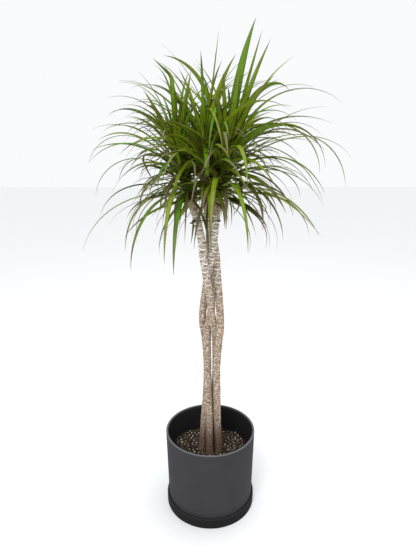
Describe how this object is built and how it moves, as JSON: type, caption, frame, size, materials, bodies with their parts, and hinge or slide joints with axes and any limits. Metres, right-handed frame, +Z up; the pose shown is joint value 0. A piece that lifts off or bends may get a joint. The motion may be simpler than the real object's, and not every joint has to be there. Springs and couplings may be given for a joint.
{
  "type": "potted dragon tree",
  "caption": "House plant with intertwined bare canes topped by fountains of long narrow leaves, standing in soil in a round matte pot on a matching saucer.",
  "frame": {"origin": "centre of the saucer's flat underside, on the floor", "axes": "+Z up along the pot's axis, +X to the right as seen from the picture's camera, which stands on the -Y side"},
  "size_m": [0.8052, 0.6993, 1.5051],
  "materials": {
    "saucer_clay": "matte charcoal unglazed clay",
    "pot_clay": "matte charcoal unglazed clay",
    "potting_soil": "dark loose bark-rich potting mix with pale mineral grains",
    "cane_bark": "pale grey-brown bark with crescent leaf scars",
    "tie_plastic": "thin black garden tie",
    "leaf": "smooth green living leaf with a soft sheen"
  },
  "bodies": {
    "root": {"saucer": "saucer_clay", "pot": "pot_clay", "soil": "potting_soil", "cane_left": "cane_bark", "cane_middle": "cane_bark", "cane_right": "cane_bark", "cane_back": "cane_bark", "tie": "tie_plastic", "head_left": "leaf", "head_middle": "leaf", "head_right": "leaf", "head_back": "leaf"}
  },
  "joints": []
}
